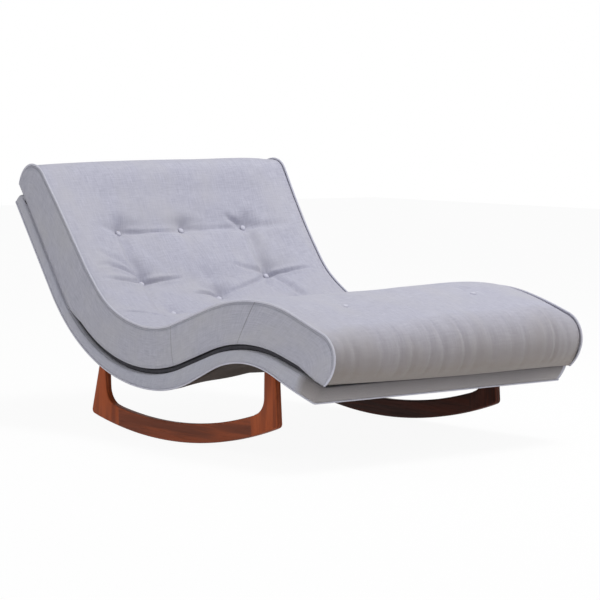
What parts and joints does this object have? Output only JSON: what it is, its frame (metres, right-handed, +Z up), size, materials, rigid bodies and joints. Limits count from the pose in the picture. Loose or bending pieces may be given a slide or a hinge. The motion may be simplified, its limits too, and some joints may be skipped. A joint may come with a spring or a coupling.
{
  "type": "rocking chaise lounge",
  "caption": "Wide rocking chaise lounge: a wave-shaped tufted cushion on a slim upholstered deck, carried by two curved wooden rockers.",
  "frame": {"origin": "on the floor, under the middle of the overall length and width", "axes": "+X from the head end to the foot end, +Y to the sitter's left, +Z up"},
  "size_m": [1.5259, 1.02, 0.8241],
  "materials": {
    "upholstery": "woven linen-look upholstery cloth, matt",
    "boxing_cloth": "the same cloth on the cushion's sides",
    "deck_cloth": "the same cloth over thin padding",
    "piping_cloth": "bias-cut cloth over cord",
    "button_cloth": "cloth-covered button",
    "charcoal_cloth": "charcoal decking felt",
    "lining": "dark lining cloth",
    "dust_cloth": "dark brown non-woven dust cover",
    "foam": "firm upholstery foam",
    "webbing": "elastic webbing",
    "twine": "waxed tufting twine",
    "rocker_wood": "reddish walnut stain, satin lacquer",
    "frame_wood": "bare plywood and pine",
    "steel": "zinc-plated steel",
    "back_button": "moulded nylon back button"
  },
  "bodies": {
    "root": {"head_rail": "frame_wood", "back_rail": "frame_wood", "seat_rail": "frame_wood", "knee_rail": "frame_wood", "foot_rail": "frame_wood", "side_rail_left": "frame_wood", "side_rail_right": "frame_wood", "corner_blocks": "frame_wood", "webbing_straps": "webbing", "decking_cloth": "charcoal_cloth", "deck_band_left": "deck_cloth", "deck_band_right": "deck_cloth", "deck_band_head": "deck_cloth", "deck_band_foot": "deck_cloth", "deck_welt_left": "deck_cloth", "deck_welt_right": "deck_cloth", "decking_pad": "charcoal_cloth", "boxing_left": "boxing_cloth", "boxing_right": "boxing_cloth", "piping_left": "piping_cloth", "piping_right": "piping_cloth", "base_panel": "lining", "foam_core": "foam", "cushion_topper": "upholstery", "tuft_buttons": "button_cloth", "tufting_twines": "twine", "back_buttons": "back_button", "rear_leg_left": "rocker_wood", "sole_rail_left": "rocker_wood", "front_leg_left": "rocker_wood", "rear_leg_right": "rocker_wood", "sole_rail_right": "rocker_wood", "front_leg_right": "rocker_wood", "rocker_dowels": "frame_wood", "dowel_screws": "steel", "rear_rocker_rail": "frame_wood", "front_rocker_rail": "frame_wood", "dust_cover": "dust_cloth"}
  },
  "joints": []
}
